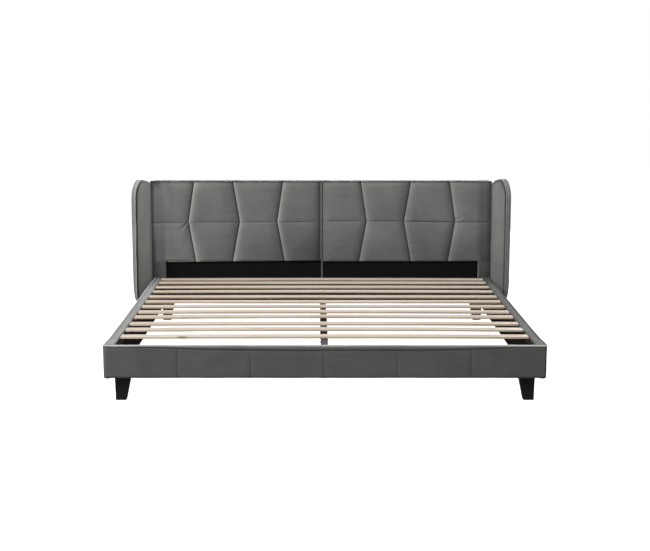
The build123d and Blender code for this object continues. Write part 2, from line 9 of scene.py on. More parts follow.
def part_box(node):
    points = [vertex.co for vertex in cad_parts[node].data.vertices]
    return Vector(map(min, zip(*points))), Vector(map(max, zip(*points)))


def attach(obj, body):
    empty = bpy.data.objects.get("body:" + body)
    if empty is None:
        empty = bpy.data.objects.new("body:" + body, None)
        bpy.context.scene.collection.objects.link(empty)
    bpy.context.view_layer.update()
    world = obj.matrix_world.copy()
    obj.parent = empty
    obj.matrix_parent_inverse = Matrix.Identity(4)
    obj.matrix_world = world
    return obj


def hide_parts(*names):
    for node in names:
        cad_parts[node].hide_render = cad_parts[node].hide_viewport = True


# Looks of an upholstered double bed: quilted velvet headboard in two halves, splayed wings, padded
# rails with piping, pine slats, black block legs. Metres, in the model's own frame.

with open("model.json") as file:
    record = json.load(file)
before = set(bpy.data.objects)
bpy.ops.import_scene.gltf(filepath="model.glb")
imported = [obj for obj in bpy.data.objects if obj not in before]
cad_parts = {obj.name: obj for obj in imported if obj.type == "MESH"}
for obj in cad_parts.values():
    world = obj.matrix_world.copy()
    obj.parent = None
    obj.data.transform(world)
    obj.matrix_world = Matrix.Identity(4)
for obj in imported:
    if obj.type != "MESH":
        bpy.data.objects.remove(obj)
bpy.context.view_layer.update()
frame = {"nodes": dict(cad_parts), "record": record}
nodes = frame["nodes"]

# Places that follow from the frame
board_low, board_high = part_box("footboard_cover")
pad_low, pad_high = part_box("headboard_pad_right")
frame_low, frame_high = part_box("headboard_frame_right")
stile_low, stile_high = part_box("headboard_stile_right")
rail_low, rail_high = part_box("side_rail_cover_right")
foot_piping_low, foot_piping_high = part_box("footboard_welt")
side_piping_low, side_piping_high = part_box("side_rail_welt_right")
slat_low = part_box("slat_06")[0]
lining_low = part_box("headboard_lining_right")[0]
y_face = stile_low.y
y_frame = frame_low.y
y_panel = frame_high.y
y_foot, y_rail = board_low.y, board_high.y
rail_bottom, rail_top = board_low.z, board_high.z
rail_outer, rail_inner = rail_high.x, rail_low.x
pad_top, frame_top, pad_bottom = pad_high.z, frame_high.z, stile_high.z
pad_short = 0.0014  # the solid pad ends this far short of its half
headboard_half = pad_high.x + pad_short


def pair(left, right):
    """A value for each side."""
    return {"left": left, "right": right}


signs = pair(-1, 1)
hair = 0.0002  # keeps surfaces that touch apart
far = 1e3  # more than any distance on the bed

# Quilting of one headboard half. Each zigzag has its distances from the centre at the three heights of
# seam_heights: top, mid seam and bottom.
seam_heights = (pad_top, 0.577, pad_bottom)
mid_rise = pair(-0.002, 0.002)
mid_sag = 0.007
zigzags = ((0.220, 0.255, 0.213), (0.508, 0.469, 0.510), (0.728, 0.763, 0.723))
centre_strips = pair(0.0105, 0.003)  # plain strip beside the join of the halves
centre_gap = 0.0006
corner_swell = pair(0.006, 0.0)
corner_start, corner_run = 0.014, 0.008
seam_shift = pair(0.0022, 0.0)
seam_glow = pair(2.15, 1.05)  # painted highlight beside the seams
# Rise of the lower edge at the join, at the window's end and at the stile
hem_rise = pair((0.005, -0.006, 0.0), (-0.001, 0.0, 0.0))
seam_sink = 0.0240
mid_sink = 0.0060
edge_sink = 0.012
seam_reach = 0.055
mid_reach = 0.030
crown_reach = 0.120
crown_share = 0.22
top_round = 0.008
# Painted shade in the seams' creases and on their dark side, a painted highlight on their other side, and
# mid_depth painted shade in the mid seam's crease
crease_width = 0.0036
crease_set = 0.0028  # how far a crease's darkest line lies from its stitches
crease_depth, join_depth = 0.88, 0.55
shadow_depth, shadow_reach = 0.50, 0.017
glow_set, glow_reach = 0.0010, 0.0115
mid_depth = 0.22
mid_deepening = pair(0.0, 0.32)
dip_share, slope_share, slope_power = 0.3, 0.7, 1.9
end_reach = pair(0.022, 0.045)
end_shift = pair(0.003, -0.004)  # both outer ends lie a little to the left
face_steps, round_steps, over_steps = 36, 6, 8
column_steps = (6, 40, 44, 40, 40)
quilt_seed = pair(3, 8)
# Pleats: the zigzag at whose knot each starts, its way, length, width and height
pleats = pair(
    (
        (2, (0.85, -1), 0.095, 0.0055, 0.0085),
        (2, (0.55, -1), 0.120, 0.0075, 0.0046),
        (1, (0.8, -0.75), 0.050, 0.0045, 0.0050),
    ),
    ((2, (1, 0.45), 0.070, 0.0045, 0.0060), (0, (-0.5, -1), 0.035, 0.0040, 0.0030)),
)
# Painted light and shade on the pleats
pleat_light = 60
# Painted shade and light on each half: at the top edge, towards the floor, at the outer end and over the
# stile
top_dark, top_light = 0.42, 0.60
low_dark = pair(0.02, 0.22)
end_dark = pair(0.60, 0.48)
stile_dark = pair(0.10, 0.30)
# Painted light on the left half beside its wing, against the wing's shadow: distances from the centre, and
# lightness there
strip_light = ((0.862, 0.896, 0.907, 0.919, 0.941, 0.955), (1.0, 1.24, 1.19, 1.25, 1.58, 1.88))

# Velvet edge between the windows, and the stiles
tongue_half, tongue_thickness, tongue_proud = 0.0051, 0.012, 0.0125
tongue_rise = 0.010
stile_round = 0.012
# Painted shade on the stiles, deeper on the right
stile_tone = pair(0.66, 0.46)

# Wings, in the plane of the inner face: u forward, z up
cad_splay = radians(12)
wing_splay = pair(radians(12.9), radians(11.2))
wing_drop = pair(0.009, 0.0045)  # each wing's peak below the solid's
wing_taper = 0.004
wing_corner_rise = 0.017
wing_depth = 0.246
wing_tab = 0.074
wing_thickness = pair(0.030, 0.0316)
wing_crown = 0.005
wing_top = 0.839
wing_bottom = 0.154
wing_top_round = 0.100
wing_bottom_round = 0.055
wing_shoulder = 0.052
wing_shoulder_drop = 0.019
wing_shoulder_round = 0.034
wing_tab_drop = 0.062
wing_edge = pair(0.0070, 0.0034)
wing_outer_edge = 0.0065
wing_roll = 0.014
wing_groove = 0.0030
wing_groove_place = 0.0090
wing_foot_drop = 0.006
wing_pinch = pair(0.005, 0.008)  # thinner towards the foot
wing_piping = 0.0029
wing_clear = 0.0003
wing_across, wing_along = 60, 120
wing_steps = 400
strip_rows = 8
wing_seed = pair(21, 34)
# Painted light and shade: the left wing's face, strip and piping lighter, the right wing's darker
wing_tone = pair(1.20, 0.84)
strip_tone = pair(1.40, 0.98)
piping_tone = pair(1.50, 0.85)

# Rails
panel_count = 6
panel_shift = -0.0042
panel_sink = 0.0030
panel_reach = 0.022
end_swell = 0.0034
end_cap = 0.0016
corner_flare = 0.006
corner_reach = 0.11
tuck_sink = 0.0038
tuck_width = 0.0030
roll_swell = 0.0026
tuck_drop = (0.0065, 0.0215)  # below the top edge at the ends and over the middle
skin = 0.0035
piping_radius = 0.0032
piping_steps = 320
# Painted light and shade on the rails and their piping
side_piping_tone = pair(1.3, 0.85)
welt_set, welt_width = 0.0085, 0.0026  # groove beside the piping, with painted shade in it
band_set, band_width = 0.0145, 0.0045  # painted light band inside the groove
band_light = pair(0.0, 0.30)
front_light = pair(0.05, 0.20)
rear_dark = pair(0.60, 0.45)
rear_start, rear_run = 0.42, 0.30
foot_seed, piping_seed = 41, 71
rail_seed = pair(51, 61)

# Camera, fitted to the photograph
camera_place = (-0.0523, -7.2426, 1.4518)
camera_pitch = radians(8.194)
camera_lens = 80.16
camera_sensor = 36.0
camera_shift = 0.0186


# Shapes
def ramp(t):
    """Smooth step from 0 to 1."""
    t = np.clip(t, 0, 1)
    return t * t * (3 - 2 * t)


def dip(distance, reach):
    """1 on a seam and 0 beyond reach, falling steeply beside the seam as on stuffed cloth."""
    s = np.clip(distance / reach, 0, 1)
    return 1 - np.sqrt(1 - (1 - s) ** 2)


def clustered(count, share=0.75):
    """count steps from 0 to 1 that are finer at both ends."""
    even = np.linspace(0, 1, count + 1)
    return (1 - share) * even + share * (0.5 - 0.5 * np.cos(pi * even))


def rough(points, scale, seed, stretch=(1, 1, 1)):
    """Smooth noise from -1 to 1 at each point."""
    shifted = points * (np.array(stretch) * scale) + seed * 17.3
    return np.array([noise.noise(Vector(p)) for p in shifted])


def folds(points, centre, direction, length, width, depth):
    """Height of a soft pleat that starts at centre and fades out along direction, in X and Z."""
    way = np.array(direction) / hypot(*direction)
    offset = points[:, (0, 2)] - np.array(centre)
    along, across = offset @ way, offset @ np.array((-way[1], way[0]))
    spread = width * (0.6 + np.clip(along, 0, length) / length)
    fade = ramp(along / (0.12 * length)) * (1 - ramp(along / length))
    return depth * fade * (line_mark(across, spread) - 0.8 * line_mark(across - 1.6 * spread, spread))


def line_mark(distance, width):
    """1 on a line, falling to 0 within about twice its width."""
    return np.exp(-((distance / width) ** 2))


scene = bpy.context.scene


def add_object(name, data):
    thing = bpy.data.objects.new(name, data)
    scene.collection.objects.link(thing)
    return thing


def make(name, points, faces, material, *replaced, slot="velvet", tone=None):
    """A smooth piece that rides on the bed's frame and stands for the CAD nodes named; tone multiplies
    its colour at each point with painted light and shade."""
    mesh = bpy.data.meshes.new(name)
    mesh.from_pydata([tuple(p) for p in points], [], faces)
    mesh.update()
    mesh.validate()
    mesh.shade_smooth()
    mesh.materials.append(material)
    layer = mesh.attributes.new("tone", "FLOAT", "POINT")
    layer.data.foreach_set("value", np.ones(len(points)) if tone is None else np.array(tone, float))
    piece = add_object(name, mesh)
    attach(piece, "frame")
    if replaced:
        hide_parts(*replaced)
    return piece


def rings(columns, rows, turned=False):
    """Faces of a body made of closed rings of points, column after column, with both ends closed."""
    faces = []
    for i in range(columns - 1):
        for j in range(rows):
            k = (j + 1) % rows
            faces.append((i * rows + j, (i + 1) * rows + j, (i + 1) * rows + k, i * rows + k))
    faces.append(tuple(range(rows)))
    faces.append(tuple(reversed(range((columns - 1) * rows, columns * rows))))
    return [tuple(reversed(f)) for f in faces] if turned else faces


def tube(name, path, normal, radius, material, *replaced, seed=0, sides=12, tone=None):
    """Piping along a path that lies in a plane with that normal."""
    path = np.array(path, float)
    ways = np.gradient(path, axis=0)
    ways /= np.linalg.norm(ways, axis=1)[:, None]
    up = np.array(normal, float)
    across = np.cross(ways, up)
    swell = 1 + 0.07 * rough(path, 22, seed)
    swell[0] = swell[-1] = 0.7
    points = []
    for place, side, size in zip(path, across, swell):
        for k in range(sides):
            angle = 2 * pi * k / sides
            points.append(place + radius * size * (cos(angle) * side + sin(angle) * up))
    shades = None if tone is None else np.repeat(tone, sides)
    return make(name, points, rings(len(path), sides), material, *replaced, tone=shades)


# Materials
def shader(name, roughness, **sockets):
    """A new material and its Principled shader, with uniform values on the shader's own sockets."""
    material = bpy.data.materials.new(name)
    material.use_nodes = True
    principled = material.node_tree.nodes["Principled BSDF"]
    principled.inputs["Roughness"].default_value = roughness
    for socket, value in sockets.items():
        principled.inputs[socket.replace("_", " ")].default_value = value
    return material, principled


def add_place(material, stretch=(1, 1, 1)):
    """The model's coordinates, stretched."""
    tree = material.node_tree
    place = tree.nodes.new("ShaderNodeTexCoord")
    mapping = tree.nodes.new("ShaderNodeMapping")
    mapping.inputs["Scale"].default_value = stretch
    tree.links.new(place.outputs["Object"], mapping.inputs["Vector"])
    return mapping.outputs["Vector"]


def add_axis(material, vector, axis):
    """One of a vector's three values."""
    split = material.node_tree.nodes.new("ShaderNodeSeparateXYZ")
    material.node_tree.links.new(vector, split.inputs["Vector"])
    return split.outputs[axis]


def add_noise(material, scale, detail=4.0, stretch=(1, 1, 1), distortion=0.0):
    """A noise texture in the model's coordinates."""
    texture = material.node_tree.nodes.new("ShaderNodeTexNoise")
    texture.inputs["Scale"].default_value = scale
    texture.inputs["Detail"].default_value = detail
    texture.inputs["Distortion"].default_value = distortion
    material.node_tree.links.new(add_place(material, stretch), texture.inputs["Vector"])
    return texture.outputs["Fac"]


def add_ramp(material, factor, stops):
    """Colours or greys along a factor."""
    tree = material.node_tree
    ramp_node = tree.nodes.new("ShaderNodeValToRGB")
    elements = ramp_node.color_ramp.elements
    while len(elements) < len(stops):
        elements.new(0.5)
    for element, (position, colour) in zip(elements, stops):
        element.position = position
        element.color = (*colour, 1)
    tree.links.new(factor, ramp_node.inputs["Fac"])
    return ramp_node.outputs["Color"]


def add_mix(material, first, second, share=None):
    """Two colours mixed by a socket, or multiplied where none is given."""
    tree = material.node_tree
    mix = tree.nodes.new("ShaderNodeMix")
    mix.data_type = "RGBA"
    factor, a, b = mix.inputs[0], mix.inputs[6], mix.inputs[7]
    if share is None:
        mix.blend_type = "MULTIPLY"
        factor.default_value = 1.0
    else:
        tree.links.new(share, factor)
    tree.links.new(first, a)
    tree.links.new(second, b)
    return mix.outputs[2]


def add_bump(material, principled, height, strength, distance, below=None):
    """A bump on the shader, over another bump where one is given."""
    tree = material.node_tree
    bump = tree.nodes.new("ShaderNodeBump")
    bump.inputs["Strength"].default_value = strength
    bump.inputs["Distance"].default_value = distance
    tree.links.new(height, bump.inputs["Height"])
    if below is not None:
        tree.links.new(below, bump.inputs["Normal"])
    tree.links.new(bump.outputs["Normal"], principled.inputs["Normal"])
    return bump.outputs["Normal"]


def grey(level, tint=(1, 1, 1)):
    return tuple(level * t for t in tint)


def velvet(name, level, sheen=0.35, contrast=0.16):
    """Short-pile velvet: brushed patches, fine pile and a soft sheen at grazing angles."""
    tint = (1.0, 1.0, 0.965)
    sheen_tint = (0.86, 0.87, 0.84, 1)
    looks = {"Sheen_Weight": sheen, "Sheen_Roughness": 0.42, "Sheen_Tint": sheen_tint}
    material, principled = shader(name, 0.82, Specular_IOR_Level=0.18, **looks)
    link = material.node_tree.links.new
    stops = ((0.30, level * (1 - contrast)), (0.52, level), (0.74, level * (1 + contrast)))
    patches = add_ramp(
        material,
        add_noise(material, 4.2, 3.0, (1.0, 1.0, 0.55), 0.9),
        [(stop, grey(lightness, tint)) for stop, lightness in stops],
    )
    strokes = add_ramp(
        material, add_noise(material, 26, 5.0, (0.35, 0.6, 2.2)), ((0.32, grey(0.90)), (0.68, grey(1.0)))
    )
    pile = add_ramp(material, add_noise(material, 620, 2.0), ((0.30, grey(0.84)), (0.70, grey(1.0))))
    colour = add_mix(material, patches, strokes)
    colour = add_mix(material, colour, pile)
    # The tone attribute multiplies the colour with painted light and shade
    tone = material.node_tree.nodes.new("ShaderNodeAttribute")
    tone.attribute_name = "tone"
    colour = add_mix(material, colour, tone.outputs["Color"])
    link(colour, principled.inputs["Base Color"])
    soft = add_bump(material, principled, add_noise(material, 30, 4.0), 0.22, 0.002)
    add_bump(material, principled, add_noise(material, 900, 2.0), 0.25, 0.0006, below=soft)
    return material


def lining(name, level):
    """Non-woven lining: fine specks and a faint dotted emboss."""
    material, principled = shader(name, 0.9, Specular_IOR_Level=0.08)
    link = material.node_tree.links.new
    specks = add_noise(material, 420, 3.0)
    link(
        add_ramp(material, specks, ((0.3, grey(level * 0.75)), (0.7, grey(level * 1.35, (1, 0.97, 0.95))))),
        principled.inputs["Base Color"],
    )
    add_bump(material, principled, specks, 0.3, 0.0006)
    return material


def add_range(material, value, low, high):
    """A value that runs from 0 at low to 1 at high."""
    span = material.node_tree.nodes.new("ShaderNodeMapRange")
    span.inputs["From Min"].default_value = low
    span.inputs["From Max"].default_value = high
    material.node_tree.links.new(value, span.inputs["Value"])
    return span.outputs["Result"]


def timber(name, pale, tan_tone, knot_tone):
    """Planed pine: long grain along X, growth bands and sparse knots."""
    material, principled = shader(name, 0.58, Specular_IOR_Level=0.3)
    tree = material.node_tree
    link = tree.links.new
    growth = add_noise(material, 30, 5.0, (0.06, 1.6, 1.6), 0.5)
    bands = add_ramp(material, growth, ((0.30, tan_tone), (0.55, pale), (0.80, pale)))
    grain = add_noise(material, 260, 3.0, (0.03, 1, 1))
    fibres = add_ramp(material, grain, ((0.35, grey(0.90)), (0.65, grey(1.0))))
    board_noise = add_noise(material, 1.9, 1.0, (0.25, 3.3, 0))
    boards = add_ramp(material, board_noise, ((0.35, (0.94, 0.90, 0.86)), (0.65, grey(1.0))))
    cells = tree.nodes.new("ShaderNodeTexVoronoi")
    cells.inputs["Scale"].default_value = 1.0
    link(add_place(material, (2.1, 6.4, 2.0)), cells.inputs["Vector"])
    knots = add_ramp(material, cells.outputs["Distance"], ((0.035, grey(1.0)), (0.075, grey(0.0))))
    knot_colour = add_ramp(material, cells.outputs["Distance"], ((0.0, knot_tone), (0.08, tan_tone)))
    colour = add_mix(material, bands, fibres)
    colour = add_mix(material, colour, boards)
    colour = add_mix(material, colour, knot_colour, knots)
    # Painted shade: the slats' edges and undersides, which face away from the light above, are darker than
    # their tops
    facing = add_axis(material, tree.nodes.new("ShaderNodeNewGeometry").outputs["Normal"], "Z")
    painted_side_shade = add_ramp(material, facing, ((0.25, grey(0.77)), (0.80, grey(1.0))))
    colour = add_mix(material, colour, painted_side_shade)
    # The rear slats stand close in view; the foot of their edges lies in shade
    spot = add_place(material)
    shade = add_range(material, add_axis(material, spot, "Y"), y_face - 0.76, y_face - 0.56)
    height = add_axis(material, spot, "Z")
    for value, low, high in ((height, slat_low.z + 0.0065, slat_low.z + 0.0035), (facing, -0.9, -0.5)):
        product = tree.nodes.new("ShaderNodeMath")
        product.operation = "MULTIPLY"
        link(shade, product.inputs[0])
        link(add_range(material, value, low, high), product.inputs[1])
        shade = product.outputs[0]
    shaded = add_ramp(material, shade, ((0.0, grey(1.0)), (1.0, grey(0.30))))
    colour = add_mix(material, colour, shaded)
    link(colour, principled.inputs["Base Color"])
    add_bump(material, principled, add_noise(material, 240, 3.0, (0.04, 1, 1)), 0.25, 0.0005)
    return material


def finish(
    name, level, tint, roughness, speckle, bump_scale, bump=0.15, metallic=0.0, stretch=(1, 1, 1),
    specular=0.5,
):
    """A painted, stained, plated or raw surface whose colour and gloss vary a little."""
    material, principled = shader(name, roughness, Metallic=metallic, Specular_IOR_Level=specular)
    link = material.node_tree.links.new
    patches = add_noise(material, speckle, 4.0, stretch)
    link(
        add_ramp(material, patches, ((0.28, grey(level * 0.80, tint)), (0.72, grey(level * 1.20, tint)))),
        principled.inputs["Base Color"],
    )
    link(
        add_ramp(material, patches, ((0.3, grey(roughness * 0.85)), (0.7, grey(min(1, roughness * 1.15))))),
        principled.inputs["Roughness"],
    )
    add_bump(material, principled, add_noise(material, bump_scale, 3.0, stretch), bump, 0.0006)
    return material


# Lit and shaded copies of one velvet, as painted light and shade: the footboard's and the right rail's
# darker, the wings', the left rail's and the piping's lighter, each with its own sheen
velvet_head = velvet("velvet_head", 0.132)
velvet_wing = velvet("velvet_wing", 0.150)
velvet_foot_shaded = velvet("velvet_foot_shaded", 0.067, contrast=0.10)
velvet_rail = pair(
    velvet("velvet_rail_left_lit", 0.160, sheen=0.30), velvet("velvet_rail_right_shaded", 0.078, sheen=0.10)
)
velvet_welt = velvet("velvet_welt", 0.190, sheen=0.6)

finishes = {
    "black_lining": lining("black_lining", 0.0036),
    # The back's lining is a lighter copy of the black lining: painted light on the dimly lit back
    "back_lining": lining("back_lining", 0.022),
    "slat_pine": timber("slat_pine", (0.485, 0.420, 0.354), (0.409, 0.327, 0.245), (0.17, 0.10, 0.06)),
    "board": finish("raw_board", 0.42, (1.0, 0.78, 0.55), 0.75, 60, 300, stretch=(0.2, 0.2, 1)),
    "leg_wood": finish(
        "leg_wood", 0.0066, (1.0, 0.86, 0.88), 0.5, 18, 160, 0.2, stretch=(1, 1, 0.12), specular=0.12
    ),
    "beam_steel": finish("beam_steel", 0.055, (0.94, 1.0, 1.04), 0.5, 40, 700, specular=0.06),
    "bracket_steel": finish("bracket_steel", 0.020, (1, 1, 1), 0.48, 40, 700),
    "zinc": finish("zinc", 0.55, (0.98, 1.0, 1.03), 0.34, 120, 500, metallic=1.0),
    "glide": finish("glide", 0.020, (1, 1, 1), 0.6, 50, 400),
}
stained_board = finish("stained_board", 0.022, (1.0, 0.94, 0.90), 0.7, 60, 300, stretch=(0.2, 0.2, 1))
# Painted shade of the slats on the beam: it darkens just ahead of the slat nearest the footboard, and stays
# dark beyond it
beam = finishes["beam_steel"]
beam_shader = beam.node_tree.nodes["Principled BSDF"]
beam_range = add_range(beam, add_axis(beam, add_place(beam), "Y"), y_rail + 0.155, y_rail + 0.200)
beam_shade = add_ramp(beam, beam_range, ((0.0, grey(1.0)), (1.0, grey(0.05))))
beam_base = beam_shader.inputs["Base Color"]
beam.node_tree.links.new(add_mix(beam, beam_base.links[0].from_socket, beam_shade), beam_base)

slot_names = {part["node"]: part["material_slot"] for part in frame["record"]["subparts"]}
for name, node in nodes.items():
    material = finishes.get(slot_names[name], velvet_head)
    if name.startswith("headboard_frame"):
        material = stained_board
    node.data.materials.clear()
    node.data.materials.append(material)


# Headboard halves
def mid_line(x, side):
    """Height of the seam that runs across a half; it hangs a little towards the wing."""
    return seam_heights[1] + mid_rise[side] - mid_sag * (x / headboard_half) ** 2


def hem_line(x, side):
    """How far the lower edge of a half's pad lies off level over the window."""
    return np.interp(x, (0, stile_low.x - 0.014, stile_low.x + 0.002), hem_rise[side])


def line_distance(x, z, start, end):
    """Distance from points to a straight seam, in the plane of the face."""
    way = np.array(end) - np.array(start)
    offset = np.stack((x - start[0], z - start[1]), axis=1)
    t = np.clip(offset @ way / (way @ way), 0, 1)
    return np.hypot(*(offset - t[:, None] * way).T)


def shaded(tone, side, x, z, angle, outer):
    """The tone of a half, multiplied by broad painted light and shade."""
    join = centre_gap + centre_strips[side]
    # Painted shade along the top edge and the join, with a painted light band below the top edge
    from_top = pad_top - z
    tone *= 1 - top_dark * (angle < 0.2) * (1 - ramp((from_top - 0.0090) / 0.002))
    tone *= 1 + top_light * (angle == 0) * ramp((from_top - 0.0095) / 0.002) * np.exp(-from_top / 0.021)
    tone *= 1 - 0.15 * line_mark(x - centre_gap, 0.0030)
    # Painted shade towards the floor
    low = ramp((0.60 - z) / 0.22)
    tone *= 0.94 - low_dark[side] * low
    if side == "left":
        # Painted shade towards the join. Painted light beside the wing, against its shadow, but painted
        # shade there near the top edge
        tone *= 1 - (0.12 + 0.24 * low) * ramp((0.25 - x) / 0.22) * (x > join)
        tone *= 1 - 0.26 * low * ramp((0.52 - x) / 0.16)
        tone *= 1 - 0.35 * (x > join) * np.exp(-(x - join) / 0.012)
        tone *= np.interp(x, *strip_light)
        tone *= 1 - 0.24 * low * ramp((x - 0.888) / 0.010) * (1 - ramp((x - 0.930) / 0.020))
        tone *= 1 - 0.45 * low * ramp((x - 0.943) / 0.008)
        dark = 0.30 * ramp((x - 0.860) / 0.010) + 0.54 * ramp((x - 0.905) / 0.035)
        tone *= 1 - line_mark(from_top, 0.055) * dark
        tone *= 1 - 0.22 * (x < join)
    else:
        # Painted shade beside the wing
        tone *= 1 + 0.05 * ramp((x - 0.45) / 0.30) - 0.36 * ramp((x - 0.872) / 0.042)
    # Painted shade at the outer end, and along the lower edge over the stile
    tone *= 1 - end_dark[side] * (1 - ramp(outer / (end_reach[side] * 0.9)))
    over_stile = ramp((x - stile_low.x) / 0.03)
    tone *= 1 - stile_dark[side] * over_stile * (1 - ramp((z - pad_bottom) / 0.07))
    # Painted light towards the left half's outer end
    tone *= 1 + (0.10 if side == "left" else 0.0) * ramp((x - 0.66) / 0.24)
    return tone


def headboard_half_piece(side):
    sign = signs[side]
    lines = [tuple(place + seam_shift[side] for place in zigzag) for zigzag in zigzags]
    strip = centre_strips[side]
    half_width = headboard_half + end_shift[side]
    # Rows round the half: up the face, over the top edge, back, and down behind
    lower = seam_heights[2] + (seam_heights[1] - seam_heights[2]) * clustered(face_steps)
    upper_end = pad_top - top_round
    upper = seam_heights[1] + (upper_end - seam_heights[1]) * clustered(face_steps)
    rows = [(y_face, z, 0.0) for z in lower[:-1]] + [(y_face, z, 0.0) for z in upper]
    for k in range(1, round_steps + 1):
        angle = pi / 2 * k / round_steps
        rows.append((y_face + top_round * (1 - cos(angle)), upper_end + top_round * sin(angle), angle))
    for k in range(1, over_steps + 1):
        rows.append((y_face + top_round + (y_panel - y_face - top_round) * k / over_steps, pad_top, pi / 2))
    puffed = len(rows)
    rows += [(y_panel, frame_top, pi / 2), (y_frame, frame_top, 0.0), (y_frame, pad_bottom, 0.0)]
    rows = np.array(rows)
    soft = np.arange(len(rows)) < puffed
    # Columns across the half, each one following the zigzag seams beside it
    edges = [(centre_gap, centre_gap, centre_gap), (centre_gap + strip,) * 3, *lines, (half_width,) * 3]
    last = len(column_steps) - 1
    columns = [
        (k, t) for k, steps in enumerate(column_steps) for t in clustered(steps)[: None if k == last else -1]
    ]
    heights = np.array(seam_heights)
    z = np.clip(rows[:, 1], pad_bottom, pad_top)
    middle = np.interp(z, heights[::-1], (0, 1, 0)) * (rows[:, 2] == 0) * soft
    hem_share = np.clip((seam_heights[1] - rows[:, 1]) / (seam_heights[1] - pad_bottom), 0, 1) ** 2
    points = []
    for k, t in columns:
        left = np.interp(-z, -heights, edges[k])
        right = np.interp(-z, -heights, edges[k + 1])
        if k == last:
            right = half_width - (rows[:, 0] - y_face) * tan(cad_splay) - wing_clear
            corner = ramp((rows[:, 1] - wing_top + wing_tab_drop - corner_start) / corner_run)
            right = right + corner_swell[side] * corner * soft
        x = left + (right - left) * t
        shifted = rows[:, 1] + middle * (mid_line(x, side) - seam_heights[1]) + hem_share * hem_line(x, side)
        points.append(np.stack((x, rows[:, 0], shifted), axis=1))
    points = np.concatenate(points)
    angle = np.tile(rows[:, 2], len(columns))
    free = np.tile(soft, len(columns))
    x, z = points[:, 0].copy(), np.clip(points[:, 2], pad_bottom, pad_top)
    # Sink from the crown to the seams
    nearest = np.full(len(points), far)
    sink = np.zeros(len(points))
    crease = np.zeros(len(points))
    join = centre_gap + strip
    seams = [((join, seam_heights[0]), (join, seam_heights[2]))]
    for zigzag in lines:
        for i in range(2):
            seams.append(((zigzag[i], seam_heights[i]), (zigzag[i + 1], seam_heights[i + 1])))
    painted_glow = np.zeros(len(points))
    for start, end in seams:
        distance = line_distance(x, z, start, end)
        slope = (1 - np.clip(distance / seam_reach, 0, 1)) ** slope_power
        fall = dip_share * dip(distance, seam_reach) + slope_share * slope
        sink = np.maximum(sink, seam_sink * (1 - crown_share) * fall)
        nearest = np.minimum(nearest, distance)
    for line in ((join,) * 3, *lines):
        beside = sign * (x - np.interp(-z, -heights, line))
        at_join = line[0] == join
        mark = line_mark(beside + crease_set, crease_width)
        crease = np.maximum(crease, (join_depth if at_join else crease_depth) * mark)
        shadow = shadow_depth * np.exp(np.minimum(beside, 0) / shadow_reach)
        crease = np.maximum(crease, shadow * (beside < 0))
        glow = (0.0 if at_join else seam_glow[side]) * ramp((beside - glow_set) / 0.002)
        painted_glow = np.maximum(painted_glow, glow * np.exp(-np.maximum(beside, 0) / glow_reach))
    above = z - mid_line(x, side)
    across = np.abs(above)
    sink = np.maximum(sink, mid_sink * dip(across, mid_reach))
    depth = mid_depth + mid_deepening[side] * ramp((x - 0.40) / 0.1) * (1 - ramp((x - 0.76) / 0.05))
    crease = np.maximum(crease, depth * line_mark(above - 0.0012, crease_width))
    painted_glow = np.maximum(painted_glow, 0.05 * line_mark(above + 0.0045, 0.0036))
    nearest = np.minimum(nearest, across)
    outer = half_width - (points[:, 1] - y_face) * tan(cad_splay) - x
    over_window = 1 - ramp((x - stile_low.x + 0.006) / 0.012)
    for distance, reach, share in (
        (x - centre_gap, 0.018, 1.0),
        (outer, end_reach[side], 1.0),
        (z - pad_bottom, 0.016, over_window),
    ):
        sink = np.maximum(sink, share * edge_sink * (1 - crown_share) * dip(distance, reach))
        nearest = np.minimum(nearest, distance + far * (1 - share))
    sink += seam_sink * crown_share * (1 - ramp(nearest / crown_reach))
    # Slack cloth and pleats
    seed = quilt_seed[side]
    sink += 0.0012 * rough(points, 9, seed, (1, 1, 1.3)) * ramp(nearest / 0.05)
    ripple = 0.0009 * rough(points, 34, seed + 1, (1.6, 1, 0.8))
    sink += ripple * np.exp(-nearest / 0.022) * ramp(nearest / 0.004)
    knots = [(zigzag[1], mid_line(zigzag[1], side)) for zigzag in lines]
    shade = np.zeros(len(points))
    for knot, way, length, width, height in pleats[side]:
        pleat = folds(points, knots[knot], way, length, width, height)
        sink -= pleat
        shade += pleat_light * pleat
    sink = np.where(free, np.clip(sink, -0.004, 0.028), 0)
    points[:, 1] += sink * np.cos(angle)
    points[:, 2] -= 0.12 * np.minimum(sink, 0.009) * np.sin(angle)
    points[:, 0] *= sign
    # Painted shade in the creases and over the top edge, a painted highlight on one side of a seam, and
    # painted light and shade on the pleats
    tone = (1 - crease) * (1 + painted_glow) * (1 + np.clip(shade, -0.45, 0.5))
    tone = tone * (1 - 0.82 * ramp((angle - 0.2) / 0.3))
    tone = shaded(tone, side, x, z, angle, outer)
    faces = rings(len(columns), len(rows), sign > 0)
    piece = make(f"headboard_quilt_{side}", points, faces, velvet_head, f"headboard_pad_{side}", tone=tone)


for side in signs:
    headboard_half_piece(side)

# The narrow velvet edge of both halves that runs down between the black windows
tongue_rows = np.linspace(pad_low.z, pad_bottom + tongue_rise, 30)
tongue_front = ((0.0003, 0.0), (tongue_half * 0.7, 0.0), (tongue_half, 0.002))
tongue_outline = (*tongue_front, (tongue_half, tongue_thickness), (0.0003, tongue_thickness))
for side, sign in signs.items():
    points = [(sign * x, lining_low.y - tongue_proud + y, z) for z in tongue_rows for x, y in tongue_outline]
    faces = rings(len(tongue_rows), len(tongue_outline), sign > 0)
    make(f"centre_tongue_{side}", points, faces, velvet_welt, tone=np.full(len(points), 0.35))

